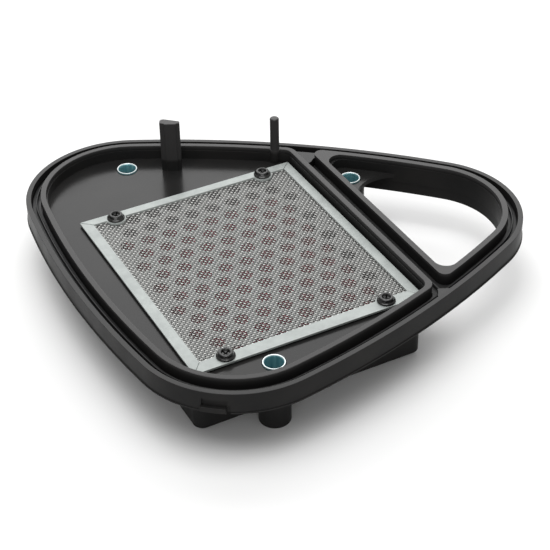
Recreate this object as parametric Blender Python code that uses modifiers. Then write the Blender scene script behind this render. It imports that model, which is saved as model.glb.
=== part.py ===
"""Air filter housing of a small engine: lower tray with its filter box and clamped screen.

Blender 4.5, metres, +Z up. Plan positions are measured from the middle of the screen,
heights from the tray floor. One empty moves the whole assembly so that the world origin
is under the middle of the tray, at the height of the three mounting bosses' feet.
"""

import math

import bmesh
import bpy
from mathutils import Matrix, Vector

MM = 0.001
GAP = 0.3 * MM
FILL_SCALE = 1000.0

# World placement of the assembly.
ASSEMBLY_SHIFT = (-31.25 * MM, -16.5 * MM, 34.0 * MM)

# Plan of the tray: three corner circles (x, y, radius), joined by wide side arcs.
CORNERS = (
    (100.0 * MM, -13.2 * MM, 50.8 * MM),
    (-30.75 * MM, 81.35 * MM, 53.75 * MM),
    (-28.5 * MM, -47.85 * MM, 54.3 * MM),
)
SIDE_RADIUS = 500.0 * MM
ARC_STEP = 7.5
SIDE_STEP = 2.6
FILLET_STEP = 24.0

# Heights.
FLOOR_THICKNESS = 2.5 * MM
OUTER_LIP_TOP = 5.7 * MM
INNER_LIP_TOP = 8.0 * MM
LIP_STEP_TOP = 5.4 * MM
SKIRT_BOTTOM = -5.7 * MM
DUCT_BOTTOM = -11.7 * MM
BOX_BOTTOM = -32.5 * MM
BOSS_BOTTOM = -34.0 * MM
WEB_TOP = 5.7 * MM

# Rim section, as insets from the outline.
OUTER_LIP_WIDTH = 2.75 * MM
INNER_LIP_OUT = 8.0 * MM
INNER_LIP_IN = 11.0 * MM
LIP_STEP_IN = 11.5 * MM
LIP_CORE = 9.5 * MM
THROUGH_INSET = 10.7 * MM
BEAD_OUT = 0.5 * MM
BEAD_HEIGHT = 0.8 * MM

# Divider between the filter side and the open window.
MAIN_WALL_OUT = 67.4 * MM
WINDOW_WALL_OUT = 74.3 * MM
MAIN_REAR_FILLET = 8.0 * MM
MAIN_FRONT_FILLET = 6.0 * MM
WINDOW_FILLET = 4.1 * MM
WINDOW_FILLET_GROWTH = 0.77
WINDOW_SHELF_FILLET = 22.0 * MM

# Seal in the groove: a flat strip with a raised crest.
SEAL_BASE = (0.3 * MM, 1.6 * MM)
SEAL_CREST_TOP = 3.5 * MM
SEAL_CREST_WIDTH = 1.0 * MM
SEAL_CREST_INSET = 5.5 * MM

# Screen: perforated plate, wire mesh and four frame rails, clamped by four screws.
SCREEN_HALF = (62.5 * MM, 70.6 * MM)
RAIL_INNER = (-56.3 * MM, 57.0 * MM, -63.3 * MM, 65.3 * MM)
RAIL_Z = (0.9 * MM, 2.0 * MM)
MESH_Z = (0.3 * MM, 0.6 * MM)
PLATE_Z = (-0.6 * MM, 0.0 * MM)
STACK_HALF = (59.5 * MM, 69.0 * MM)
POCKET_HALF = (60.0 * MM, 69.4 * MM)
POCKET_FLOOR = -0.9 * MM
HOLE_RADIUS = 4.0 * MM
HOLE_PITCH = 12.0 * MM
HOLE_ROW = 10.4 * MM
HOLE_OFFSET = 0.5 * MM
SCREW_X = 43.75 * MM
SCREW_Y = 65.5 * MM
LOBE_RADIUS = 5.4 * MM
SHANK_RADIUS = 2.5 * MM
SHANK_HOLE = 2.8 * MM
SHANK_BOTTOM = -9.0 * MM
HEAD_RADIUS = 4.7 * MM
HEAD_Z = (2.3 * MM, 4.8 * MM)
HEAD_CROWN = 3.4 * MM
RECESS_RADIUS = 2.3 * MM
RECESS_DEPTH = 1.1 * MM
INSERT_RADIUS = 3.8 * MM
INSERT_Z = (-9.7 * MM, -1.2 * MM)
INSERT_HOLE = 4.1 * MM
SCREW_BOSS_RADIUS = 5.3 * MM
SCREW_BOSS_BOTTOM = -12.0 * MM

# Filter box under the screen, with the pleated element inside.
AIR_OPENING_HALF = (55.0 * MM, 60.0 * MM)
BOX_HALF = (62.5 * MM, 71.0 * MM)
BOX_WALL = 2.5 * MM
BOX_CORNER = 5.0 * MM
PLEAT_COUNT = 25
PLEAT_PITCH = 4.0 * MM
PLEAT_Z = (-27.0 * MM, -6.5 * MM)
PLEAT_HALF_Y = 58.6 * MM
PAPER = 0.7 * MM
POTTING_Z = (-27.6 * MM, -5.8 * MM)
POTTING_HALF = (59.7 * MM, 68.2 * MM)
GRID_Z = (-31.2 * MM, -27.9 * MM)
GRID_BORDER = 6.0 * MM
GRID_BAR = 2.2 * MM
GRID_CELLS = (5, 6)

# Mounting collars and their bosses.
COLLARS = (
    ("collar_rear", -18.3 * MM, 110.0 * MM),
    ("collar_window", 85.6 * MM, 41.2 * MM),
    ("collar_front", -25.2 * MM, -78.6 * MM),
)
COLLAR_RADIUS = 5.6 * MM
COLLAR_BORE = 4.6 * MM
COLLAR_Z = (-33.7 * MM, 0.8 * MM)
BOSS_RADIUS = 7.95 * MM
BOSS_BORE = 5.9 * MM

# Posts that stand on the floor.
TALL_POST = (4.4 * MM, 99.0 * MM, 30.0 * MM)
TALL_POST_TURN = math.radians(-27.3)
# Corners of the tall post's plan in millimetres, before it is turned: a raised front face
# between two lower shoulders, and a back that slopes.
TALL_POST_PLAN = (
    (-2.9, -2.9), (3.5, -2.9), (3.6, -2.2), (5.5, -1.8), (5.5, 0.0),
    (5.0, 0.6), (-3.4, 3.0), (-5.0, 2.6), (-5.6, 1.5), (-5.6, -1.4), (-3.0, -2.2),
)
SLIM_POST = (58.0 * MM, 77.5 * MM, 28.0 * MM)

# Catch on the front left corner of the skirt.
CATCH_ANGLES = (-134.8, -121.6)
CATCH_RECESS_Z = (-2.6 * MM, 1.6 * MM)
CATCH_LEDGE_Z = (-5.5 * MM, -2.6 * MM)
CATCH_DEPTH = 1.2 * MM
CATCH_PROUD = 1.0 * MM

BLACK_PLASTIC = (0.028, 0.028, 0.029)
STEEL = (0.72, 0.75, 0.73)
ZINC = (0.80, 0.80, 0.77)
RUBBER = (0.012, 0.012, 0.013)
PAPER_RED = (0.45, 0.06, 0.09)
POTTING = (0.06, 0.06, 0.065)
SCREW_BLACK = (0.012, 0.012, 0.012)
BRASS = (0.70, 0.50, 0.22)


def clear_scene():
    for obj in list(bpy.data.objects):
        bpy.data.objects.remove(obj, do_unlink=True)


def new_collection(name):
    made = bpy.data.collections.new(name)
    bpy.context.scene.collection.children.link(made)
    return made


def new_material(name, colour, roughness, metallic):
    made = bpy.data.materials.new(name)
    made.use_nodes = True
    shader = made.node_tree.nodes["Principled BSDF"]
    shader.inputs["Base Color"].default_value = (*colour, 1.0)
    shader.inputs["Roughness"].default_value = roughness
    shader.inputs["Metallic"].default_value = metallic
    made.diffuse_color = (*colour, 1.0)
    return made


# Plan outlines ---------------------------------------------------------------


def arc(cx, cy, radius, start, end, step):
    """Points along an arc, angles in radians, at most step degrees apart."""
    count = max(2, math.ceil(abs(end - start) / math.radians(step)))
    angles = [start + (end - start) * i / count for i in range(count + 1)]
    return [(cx + radius * math.cos(a), cy + radius * math.sin(a)) for a in angles]


def tidy(points):
    """The closed loop without repeated points."""
    kept = []
    for point in points:
        if not kept or math.dist(point, kept[-1]) > 0.02 * MM:
            kept.append(point)
    if math.dist(kept[0], kept[-1]) <= 0.02 * MM:
        kept.pop()
    return kept


def side_centre(first, second):
    """Centre of the side arc that is tangent to two corner circles from outside."""
    ax, ay, ar = first
    bx, by, br = second
    da = SIDE_RADIUS - ar
    db = SIDE_RADIUS - br
    span = math.dist((ax, ay), (bx, by))
    ux, uy = (bx - ax) / span, (by - ay) / span
    along = (da * da - db * db + span * span) / (2 * span)
    across = math.sqrt(da * da - along * along)
    return ax + ux * along - uy * across, ay + uy * along + ux * across


def rim_arcs():
    """The outline's six arcs, anticlockwise, as [x, y, radius, start, end]."""
    sides = [side_centre(CORNERS[i], CORNERS[(i + 1) % 3]) for i in range(3)]
    arcs = []
    for i, (cx, cy, radius) in enumerate(CORNERS):
        before, after = sides[i - 1], sides[i]
        start = math.atan2(cy - before[1], cx - before[0])
        end = math.atan2(cy - after[1], cx - after[0])
        while end < start:
            end += 2 * math.pi
        arcs.append([cx, cy, radius, start, end])
        nx, ny, _ = CORNERS[(i + 1) % 3]
        leave = math.atan2(ny - after[1], nx - after[0])
        while leave < end:
            leave += 2 * math.pi
        arcs.append([after[0], after[1], SIDE_RADIUS, end, leave])
    return arcs


def arc_run(arcs, inset):
    points = []
    for cx, cy, radius, start, end in arcs:
        step = SIDE_STEP if radius > 0.3 else ARC_STEP
        points += arc(cx, cy, radius - inset, start, end, step)
    return points


def outline(inset):
    return tidy(arc_run(rim_arcs(), inset))


def fillet_on(side, inset, x, radius, rear):
    """Centre height and tangent angle of a fillet between a side arc and the divider."""
    cx, cy, side_radius = side[:3]
    reach = side_radius - inset - radius
    rise = math.sqrt(reach * reach - (x - cx) ** 2)
    y = cy + rise if rear else cy - rise
    return y, math.atan2(y - cy, x - cx)


def turned(angle, start):
    while angle < start:
        angle += 2 * math.pi
    while angle > start + 2 * math.pi:
        angle -= 2 * math.pi
    return angle


def main_loop(inset, wall_x, change, front_change):
    """The filter side of the rim: the outline inset, closed by the divider wall."""
    arcs = rim_arcs()
    rear, front = arcs[1], arcs[5]
    rear_fillet = MAIN_REAR_FILLET - change
    front_fillet = MAIN_FRONT_FILLET - front_change
    rear_x, front_x = wall_x - rear_fillet, wall_x - front_fillet
    rear_y, rear_a = fillet_on(rear, inset, rear_x, rear_fillet, True)
    front_y, front_a = fillet_on(front, inset, front_x, front_fillet, False)
    rear_a = turned(rear_a, rear[3])
    front_a = turned(front_a, front[3])
    rear_part = [*rear[:3], rear_a, rear[4]]
    front_part = [*front[:3], front[3], front_a]
    points = arc_run([rear_part, arcs[2], arcs[3], arcs[4], front_part], inset)
    points += arc(front_x, front_y, front_fillet, front_a, turned(0.0, front_a), FILLET_STEP)
    points += arc(rear_x, rear_y, rear_fillet, 0.0, turned(rear_a, 0.0), FILLET_STEP)
    return tidy(points)


def window_loop(inset, wall_x, fillet, rear_fillet):
    """The open side of the rim, right of the divider."""
    arcs = rim_arcs()
    rear, front = arcs[1], arcs[5]
    rear_x = wall_x + rear_fillet
    front_x = wall_x + fillet
    rear_y, rear_a = fillet_on(rear, inset, rear_x, rear_fillet, True)
    front_y, front_a = fillet_on(front, inset, front_x, fillet, False)
    rear_a = turned(rear_a, rear[3])
    front_a = turned(front_a, front[3])
    front_part = [*front[:3], front_a, front[4]]
    rear_part = [*rear[:3], rear[3], rear_a]
    points = arc_run([front_part, arcs[0], rear_part], inset)
    points += arc(rear_x, rear_y, rear_fillet, rear_a, turned(math.pi, rear_a), FILLET_STEP / 2)
    start = turned(math.pi, 0.0)
    points += arc(front_x, front_y, fillet, start, turned(front_a, start), FILLET_STEP)
    return tidy(points)


def main_ring(inset, change, front_change):
    wall = MAIN_WALL_OUT - (inset - INNER_LIP_OUT) * 3.2 / 3.0
    return main_loop(inset, wall, change, front_change)


def window_ring(inset):
    """A loop of the window lip. Its corners are blunter on the inside than on the outside."""
    inward = inset - INNER_LIP_OUT
    wall = WINDOW_WALL_OUT + inward * 3.1 / 3.0
    fillet = WINDOW_FILLET + inward * WINDOW_FILLET_GROWTH
    return window_loop(inset, wall, fillet, fillet)


def rounded_rectangle(half_x, half_y, radius):
    points = []
    for i, (sx, sy) in enumerate(((1, 1), (-1, 1), (-1, -1), (1, -1))):
        start = i * math.pi / 2
        cx, cy = sx * (half_x - radius), sy * (half_y - radius)
        points += arc(cx, cy, radius, start, start + math.pi / 2, 22.5)
    return tidy(points)


def circle(cx, cy, radius, count):
    angles = [2 * math.pi * i / count for i in range(count)]
    return [(cx + radius * math.cos(a), cy + radius * math.sin(a)) for a in angles]


def sector(centre, inner, outer, start, end):
    """Plan of a ring sector, angles in degrees."""
    a, b = math.radians(start), math.radians(end)
    return arc(*centre, outer, a, b, 3.0) + arc(*centre, inner, b, a, 3.0)


# Solids ----------------------------------------------------------------------


def place(name, mesh, collection, parent, material=None):
    obj = bpy.data.objects.new(name, mesh)
    collection.objects.link(obj)
    obj.parent = parent
    if material is not None:
        mesh.materials.clear()
        mesh.materials.append(material)
    return obj


def slab_mesh(name, loops, low, high):
    """An extruded flat outline with holes, as a closed mesh."""
    curve = bpy.data.curves.new(name, "CURVE")
    curve.dimensions = "2D"
    curve.fill_mode = "BOTH"
    curve.extrude = (high - low) / 2 * FILL_SCALE
    for loop in loops:
        spline = curve.splines.new("POLY")
        spline.points.add(len(loop) - 1)
        for point, (x, y) in zip(spline.points, loop):
            point.co = (x * FILL_SCALE, y * FILL_SCALE, 0.0, 1.0)
        spline.use_cyclic_u = True
    holder = bpy.data.objects.new(name + "_outline", curve)
    bpy.context.scene.collection.objects.link(holder)
    bpy.context.view_layer.update()
    graph = bpy.context.evaluated_depsgraph_get()
    mesh = bpy.data.meshes.new_from_object(holder.evaluated_get(graph))
    bpy.data.objects.remove(holder, do_unlink=True)
    bpy.data.curves.remove(curve)
    mesh.transform(Matrix.Scale(1.0 / FILL_SCALE, 4))
    mesh.transform(Matrix.Translation((0.0, 0.0, (low + high) / 2)))
    mesh.name = name
    weld(mesh, 0.002 * MM)
    return mesh


def weld(mesh, distance):
    body = bmesh.new()
    body.from_mesh(mesh)
    bmesh.ops.remove_doubles(body, verts=body.verts, dist=distance)
    bmesh.ops.recalc_face_normals(body, faces=body.faces)
    body.to_mesh(mesh)
    body.free()


class Shop:
    """Where the pieces go, and the Booleans that wait until every solid is drawn."""

    waiting = []

    def __init__(self, shown, tools, parent):
        self.shown = shown
        self.tools = tools
        self.parent = parent

    def fuse(self, obj, others):
        """Unites the piece with all the others in one exact pass."""
        self.waiting.append((unite, (self.tools, obj, others)))

    def cut(self, obj, *others):
        self.waiting += [(subtract, (obj, other)) for other in others]

    def slab(self, name, loops, low, high, material):
        return place(name, slab_mesh(name, loops, low, high), self.shown, self.parent, material)

    def tool(self, name, loops, low, high):
        """A solid that only serves a Boolean of another piece."""
        obj = place(name, slab_mesh(name, loops, low, high), self.tools, self.parent)
        obj.hide_render = True
        obj.display_type = "WIRE"
        return obj

    def turned(self, name, profile, steps, material, place_at):
        """A turned solid about Z. The closed profile holds (radius, height) points."""
        mesh = turned_mesh(name, profile, steps)
        obj = place(name, mesh, self.shown, self.parent, material)
        obj.location = place_at
        return obj


def turned_mesh(name, profile, steps):
    """Closed (radius, height) profile swept round Z with the Screw modifier."""
    mesh = bpy.data.meshes.new(name)
    on_axis = [i for i, (radius, _) in enumerate(profile) if radius < 0.001 * MM]
    count = len(profile)
    edges = [(i, (i + 1) % count) for i in range(count)]
    edges = [e for e in edges if not (e[0] in on_axis and e[1] in on_axis)]
    mesh.from_pydata([(radius, 0.0, height) for radius, height in profile], edges, [])
    holder = bpy.data.objects.new(name + "_profile", mesh)
    bpy.context.scene.collection.objects.link(holder)
    screw = holder.modifiers.new("turn", "SCREW")
    screw.steps = steps
    screw.render_steps = steps
    screw.use_merge_vertices = True
    screw.merge_threshold = 0.00001
    bpy.context.view_layer.update()
    graph = bpy.context.evaluated_depsgraph_get()
    made = bpy.data.meshes.new_from_object(holder.evaluated_get(graph))
    bpy.data.objects.remove(holder, do_unlink=True)
    made.name = name
    weld(made, 0.002 * MM)
    return made


def unite(tools, obj, others):
    group = bpy.data.collections.new(obj.name + "_joined")
    tools.children.link(group)
    for other in others:
        tools.objects.unlink(other)
        group.objects.link(other)
    modifier = obj.modifiers.new("join", "BOOLEAN")
    modifier.operation = "UNION"
    modifier.solver = "EXACT"
    modifier.operand_type = "COLLECTION"
    modifier.collection = group


def subtract(obj, other):
    modifier = obj.modifiers.new(other.name, "BOOLEAN")
    modifier.operation = "DIFFERENCE"
    modifier.solver = "EXACT"
    modifier.object = other


# Tray moulding ---------------------------------------------------------------


def rear_web_plan():
    """Fill between the two inner lips where they part, behind the divider."""
    rear = rim_arcs()[1]
    cx, cy, radius = rear[0], rear[1], rear[2] - INNER_LIP_OUT - 0.3 * MM
    start = math.acos((84.0 * MM - cx) / radius)
    end = math.acos((62.0 * MM - cx) / radius)
    back = arc(cx, cy, radius, start, end, 1.0)
    return [(66.0 * MM, 56.5 * MM), (78.6 * MM, 60.0 * MM), *back, (65.8 * MM, 71.0 * MM)]


def front_web_plan():
    """Fill between the main lip's corner and the outer lip, in front of the divider."""
    window_side = arc(81.8 * MM, -59.5 * MM, 17.8 * MM, math.radians(242), math.radians(223), 4.0)
    main_side = arc(59.3 * MM, -70.8 * MM, 9.2 * MM, math.radians(-4), math.radians(-48), 8.0)
    foot = [(65.2 * MM, -79.9 * MM), (74.6 * MM, -77.0 * MM)]
    corner = [(67.2 * MM, -66.6 * MM), (66.2 * MM, -68.0 * MM)]
    return tidy([*window_side, *corner, *main_side, *foot])


def rim_tools(shop):
    """The walls and lips that stand on the floor."""
    lip = shop.tool(
        "outer_lip_ring", [outline(0.0), outline(OUTER_LIP_WIDTH)], SKIRT_BOTTOM, OUTER_LIP_TOP
    )
    bead_low = SKIRT_BOTTOM - 0.1 * MM
    bead = shop.tool(
        "skirt_bead", [outline(-BEAD_OUT), outline(1.3 * MM)], bead_low, bead_low + BEAD_HEIGHT
    )
    recess, ledge, slot = catch_tools(shop)
    shop.cut(lip, recess, slot)
    shop.cut(bead, slot)
    main = shop.tool(
        "main_lip",
        [main_ring(INNER_LIP_OUT, 0.0, 0.0), main_ring(INNER_LIP_IN, 3.0 * MM, 0.5 * MM)],
        -1.0 * MM,
        INNER_LIP_TOP,
    )
    main_step = shop.tool(
        "main_lip_step",
        [main_ring(LIP_CORE, 1.5 * MM, 1.5 * MM), main_ring(LIP_STEP_IN, 3.5 * MM, 3.5 * MM)],
        -1.2 * MM,
        LIP_STEP_TOP,
    )
    window = shop.tool(
        "window_lip",
        [window_ring(INNER_LIP_OUT), window_ring(INNER_LIP_IN)],
        DUCT_BOTTOM,
        INNER_LIP_TOP,
    )
    window_step = shop.tool(
        "window_lip_step",
        [window_ring(LIP_CORE), window_ring(LIP_STEP_IN)],
        -5.0 * MM,
        LIP_STEP_TOP,
    )
    rear_web = shop.tool("rear_web", [rear_web_plan()], -1.4 * MM, WEB_TOP)
    front_web = shop.tool("front_web", [front_web_plan()], -1.4 * MM, WEB_TOP - 0.05 * MM)
    return [lip, bead, ledge, main, main_step, window, window_step, rear_web, front_web]


def box_tools(shop):
    """The filter box and the bosses under the floor."""
    inner = (BOX_HALF[0] - BOX_WALL, BOX_HALF[1] - BOX_WALL)
    box = shop.tool(
        "box_wall",
        [rounded_rectangle(*BOX_HALF, BOX_CORNER), rounded_rectangle(*inner, 2.5 * MM)],
        BOX_BOTTOM,
        -1.1 * MM,
    )
    bosses = []
    for name, x, y in COLLARS:
        plan = [circle(x, y, BOSS_RADIUS, 24), circle(x, y, BOSS_BORE, 24)]
        bosses.append(shop.tool(name + "_boss", plan, BOSS_BOTTOM, -0.8 * MM))
    for i, (x, y) in enumerate(screw_places()):
        plan = [circle(x, y, SCREW_BOSS_RADIUS, 16), circle(x, y, INSERT_HOLE, 16)]
        bosses.append(shop.tool(f"screw_boss_{i + 1}", plan, SCREW_BOSS_BOTTOM, -1.3 * MM))
        plan = [circle(x, y, SCREW_BOSS_RADIUS - 0.4 * MM, 16)]
        low = SCREW_BOSS_BOTTOM + 0.3 * MM
        bosses.append(shop.tool(f"screw_boss_end_{i + 1}", plan, low, INSERT_Z[0] - GAP))
        plan = [circle(x, y, INSERT_HOLE, 16)]
        shop.cut(box, shop.tool(f"insert_hole_{i + 1}", plan, INSERT_Z[0] - GAP, 0.0))
    return [box, *bosses]


def post_tools(shop):
    x, y, height = TALL_POST
    turn = Matrix.Rotation(TALL_POST_TURN, 2)
    corners = [turn @ Vector(corner) * MM for corner in TALL_POST_PLAN]
    plan = [(x + corner.x, y + corner.y) for corner in corners]
    tall = shop.tool("tall_post", [plan], -1.6 * MM, height)
    x, y, height = SLIM_POST
    slim = shop.tool("slim_post", [circle(x, y, 2.55 * MM, 16)], -1.6 * MM, height)
    slim_foot = shop.tool("slim_post_foot", [circle(x, y, 2.75 * MM, 16)], -1.7 * MM, INNER_LIP_TOP)
    rib = shop.tool(
        "slim_post_rib",
        [[(x + u * MM, y + v * MM) for u, v in ((-1.2, 0.0), (1.2, 0.0), (1.2, 2.2), (-1.2, 2.2))]],
        -1.5 * MM,
        6.9 * MM,
    )
    return [tall, slim_foot, slim, rib]


def catch_tools(shop):
    """The recess that is cut in the skirt, and the ledge under it."""
    cx, cy, radius = CORNERS[2]
    start, end = CATCH_ANGLES
    recess_plan = sector((cx, cy), radius - CATCH_DEPTH, radius + 1.5 * MM, start, end)
    recess = shop.tool("catch_recess", [recess_plan], *CATCH_RECESS_Z)
    ledge_plan = sector((cx, cy), radius - 1.0 * MM, radius + CATCH_PROUD, start - 0.6, end - 0.8)
    ledge = shop.tool("catch_ledge", [ledge_plan], *CATCH_LEDGE_Z)
    slot_plan = sector((cx, cy), radius - 1.4 * MM, radius + 2.0 * MM, end - 0.8, end + 1.2)
    slot = shop.tool("catch_slot", [slot_plan], -8.0 * MM, -1.0 * MM)
    return recess, ledge, slot


def screw_places():
    return [(sx * SCREW_X, sy * SCREW_Y) for sy in (-1, 1) for sx in (-1, 1)]


def tray(shop, material):
    """One moulding: rim, floor, divider, window duct, filter box, bosses and posts."""
    through = window_loop(THROUGH_INSET, 77.1 * MM, 4.8 * MM, WINDOW_SHELF_FILLET)
    bores = [circle(x, y, BOSS_BORE, 24) for _, x, y in COLLARS]
    insert_holes = [circle(x, y, INSERT_HOLE, 16) for x, y in screw_places()]
    opening = rounded_rectangle(*AIR_OPENING_HALF, 4.0 * MM)
    lower = [outline(1.2 * MM), opening, through, *bores, *insert_holes]
    body = shop.slab("housing_tray", lower, -FLOOR_THICKNESS, POCKET_FLOOR, material)
    pocket = rounded_rectangle(*POCKET_HALF, 2.0 * MM)
    upper = [outline(1.4 * MM), pocket, through, *bores]
    floor = shop.tool("floor_top", upper, POCKET_FLOOR - 0.8 * MM, 0.0)
    shop.fuse(body, [floor, *rim_tools(shop), *box_tools(shop), *post_tools(shop)])
    return body


# Other pieces ----------------------------------------------------------------


def collars(shop, material):
    """Metal sleeves that take the mounting bolts' clamping load."""
    low, high = COLLAR_Z
    chamfer = 0.4 * MM
    profile = [
        (COLLAR_BORE, low),
        (COLLAR_RADIUS, low),
        (COLLAR_RADIUS, high - chamfer),
        (COLLAR_RADIUS - chamfer / 2, high),
        (COLLAR_BORE + chamfer, high),
        (COLLAR_BORE, high - chamfer),
    ]
    for name, x, y in COLLARS:
        shop.turned(name, profile, 24, material, (x, y, 0.0))


def seal(shop, material):
    """The lid's seal: one strip round both sides of the divider, with a crest."""
    clear = GAP
    outer = outline(OUTER_LIP_WIDTH + clear)
    main = main_loop(INNER_LIP_OUT - clear, MAIN_WALL_OUT + clear, -clear, -clear)
    window = window_loop(
        INNER_LIP_OUT - clear, WINDOW_WALL_OUT - clear, WINDOW_FILLET + clear, WINDOW_FILLET + clear
    )
    body = shop.slab("lid_seal", [outer, main, window], *SEAL_BASE, material)
    half = SEAL_CREST_WIDTH / 2
    ring = [outline(SEAL_CREST_INSET - half), outline(SEAL_CREST_INSET + half)]
    crest = shop.tool("seal_crest_rim", ring, 1.0 * MM, SEAL_CREST_TOP)
    middle = (MAIN_WALL_OUT + WINDOW_WALL_OUT) / 2
    strip = [
        (middle - half, -75.0 * MM),
        (middle + half, -75.0 * MM),
        (middle + half, 56.0 * MM),
        (middle - half, 56.0 * MM),
    ]
    divider = shop.tool("seal_crest_divider", [strip], 0.9 * MM, SEAL_CREST_TOP - 0.05 * MM)
    rear_end = shop.tool("seal_rear_end", [grown(rear_web_plan(), 2 * GAP)], -1.0 * MM, 7.0 * MM)
    front_end = shop.tool("seal_front_end", [grown(front_web_plan(), 2 * GAP)], -1.0 * MM, 7.0 * MM)
    for piece in (body, crest, divider):
        shop.cut(piece, rear_end, front_end)
    shop.fuse(body, [crest, divider])
    return body


def grown(points, by):
    """A plan loop moved outwards along its corner normals."""
    area = sum(
        a[0] * b[1] - b[0] * a[1] for a, b in zip(points, points[1:] + points[:1])
    )
    sign = 1.0 if area > 0 else -1.0
    made = []
    for before, here, after in zip(points[-1:] + points[:-1], points, points[1:] + points[:1]):
        first = unit_normal(before, here, sign)
        second = unit_normal(here, after, sign)
        nx, ny = first[0] + second[0], first[1] + second[1]
        scale = 1.0 + first[0] * second[0] + first[1] * second[1]
        scale = max(scale, 0.4)
        made.append((here[0] + by * nx / scale, here[1] + by * ny / scale))
    return made


def unit_normal(first, second, sign):
    dx, dy = second[0] - first[0], second[1] - first[1]
    length = math.hypot(dx, dy)
    return sign * dy / length, -sign * dx / length


def plate_holes():
    """Plan circles of the perforation, in staggered rows."""
    holes = []
    for row in range(-6, 7):
        y = row * HOLE_ROW
        shift = HOLE_OFFSET if row % 2 == 0 else HOLE_OFFSET - HOLE_PITCH / 2
        first = -4 if row % 2 == 0 else -3
        for k in range(first, 5):
            holes.append((shift + k * HOLE_PITCH, y))
    return holes


def clear_of_screws(x, y):
    return all(math.dist((x, y), place) > HOLE_RADIUS + 3.6 * MM for place in screw_places())


def shank_holes():
    return [circle(x, y, SHANK_HOLE, 16) for x, y in screw_places()]


def perforated_plate(shop, material):
    border = rounded_rectangle(*STACK_HALF, 1.5 * MM)
    holes = [circle(x, y, HOLE_RADIUS, 8) for x, y in plate_holes() if clear_of_screws(x, y)]
    return shop.slab("perforated_plate", [border, *holes, *shank_holes()], *PLATE_Z, material)


def wire_mesh(shop, material):
    """The woven wire cloth, as one thin sheet of its outline."""
    border = rounded_rectangle(*STACK_HALF, 1.5 * MM)
    return shop.slab("wire_mesh_screen", [border, *shank_holes()], *MESH_Z, material)


def lobed_edge(side):
    """Inner edge of the front (-1) or rear (1) rail, from left to right, round its screws."""
    edge_y = RAIL_INNER[2] if side < 0 else RAIL_INNER[3]
    screw_y = side * SCREW_Y
    dip = math.asin((edge_y - screw_y) / LOBE_RADIUS)
    start, end = math.pi - dip, dip
    if side > 0:
        end += 2 * math.pi
    points = []
    for sx in (-1, 1):
        points += arc(sx * SCREW_X, screw_y, LOBE_RADIUS, start, end, 12.0)
    return points


def frame_rails(shop, material):
    """Four mitred strips; the front and rear ones widen round the screws."""
    left, right, front, rear = RAIL_INNER
    hx, hy = SCREEN_HALF
    plans = {
        "frame_rail_left": [(-hx, hy), (-hx, -hy), (left, front), (left, rear)],
        "frame_rail_right": [(hx, -hy), (hx, hy), (right, rear), (right, front)],
        "frame_rail_front": [(hx, -hy), (right, front), *lobed_edge(-1)[::-1], (left, front), (-hx, -hy)],
        "frame_rail_rear": [(-hx, hy), (left, rear), *lobed_edge(1), (right, rear), (hx, hy)],
    }
    for name, plan in plans.items():
        loops = [grown(plan, -GAP / 2)]
        side = {"front": -1, "rear": 1}.get(name.rsplit("_", 1)[1])
        if side is not None:
            loops += [circle(sx * SCREW_X, side * SCREW_Y, SHANK_HOLE, 16) for sx in (-1, 1)]
        shop.slab(name, loops, *RAIL_Z, material)


def screws(shop, material):
    low, high = HEAD_Z
    profile = [
        (0.0, SHANK_BOTTOM),
        (SHANK_RADIUS - 0.5 * MM, SHANK_BOTTOM),
        (SHANK_RADIUS, SHANK_BOTTOM + 0.6 * MM),
        (SHANK_RADIUS, low),
        (HEAD_RADIUS, low),
        (HEAD_RADIUS, low + 0.5 * MM),
        (HEAD_RADIUS - 0.8 * MM, low + 1.1 * MM),
        (HEAD_CROWN, high - 0.2 * MM),
        (HEAD_CROWN - 0.3 * MM, high),
        (RECESS_RADIUS, high),
        (RECESS_RADIUS - 0.6 * MM, high - RECESS_DEPTH),
        (0.0, high - RECESS_DEPTH),
    ]
    for i, (x, y) in enumerate(screw_places()):
        shop.turned(f"screen_screw_{i + 1}", profile, 16, material, (x, y, 0.0))


def inserts(shop, material):
    """Threaded bushes moulded into the tray under each screw."""
    low, high = INSERT_Z
    profile = [
        (SHANK_HOLE, low),
        (INSERT_RADIUS, low),
        (INSERT_RADIUS, high),
        (SHANK_HOLE, high),
    ]
    for i, (x, y) in enumerate(screw_places()):
        shop.turned(f"threaded_insert_{i + 1}", profile, 16, material, (x, y, 0.0))


def pleated_element(shop, material):
    """Folded filter paper: one zigzag band, drawn end on and extruded along Y."""
    low, high = PLEAT_Z
    half = PLEAT_COUNT * PLEAT_PITCH / 2
    top, bottom = [], []
    for i in range(2 * PLEAT_COUNT + 1):
        x = -half + i * PLEAT_PITCH / 2
        ridge = i % 2 == 0
        rise = PAPER * 2.2
        top.append((x, high if ridge else low + rise))
        bottom.append((x, high - rise if ridge else low))
    loop = top + bottom[::-1]
    mesh = slab_mesh("pleated_filter_element", [loop], -PLEAT_HALF_Y, PLEAT_HALF_Y)
    mesh.transform(Matrix.Rotation(math.pi / 2, 4, "X"))
    return place("pleated_filter_element", mesh, shop.shown, shop.parent, material)


def element_edge(shop, material):
    """Moulded edge that carries the paper and seals it to the box."""
    clear = GAP
    half_x = PLEAT_COUNT * PLEAT_PITCH / 2 + clear
    inner = rounded_rectangle(half_x, PLEAT_HALF_Y + clear, 1.0 * MM)
    border = rounded_rectangle(*POTTING_HALF, 2.2 * MM)
    edge = shop.slab("element_edge_frame", [border, inner], *POTTING_Z, material)
    for i, (x, y) in enumerate(screw_places()):
        plan = [circle(x, y, SCREW_BOSS_RADIUS + 2 * clear, 16)]
        top = POTTING_Z[1] + 1.0 * MM
        shop.cut(edge, shop.tool(f"edge_notch_{i + 1}", plan, SCREW_BOSS_BOTTOM - clear, top))


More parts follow.
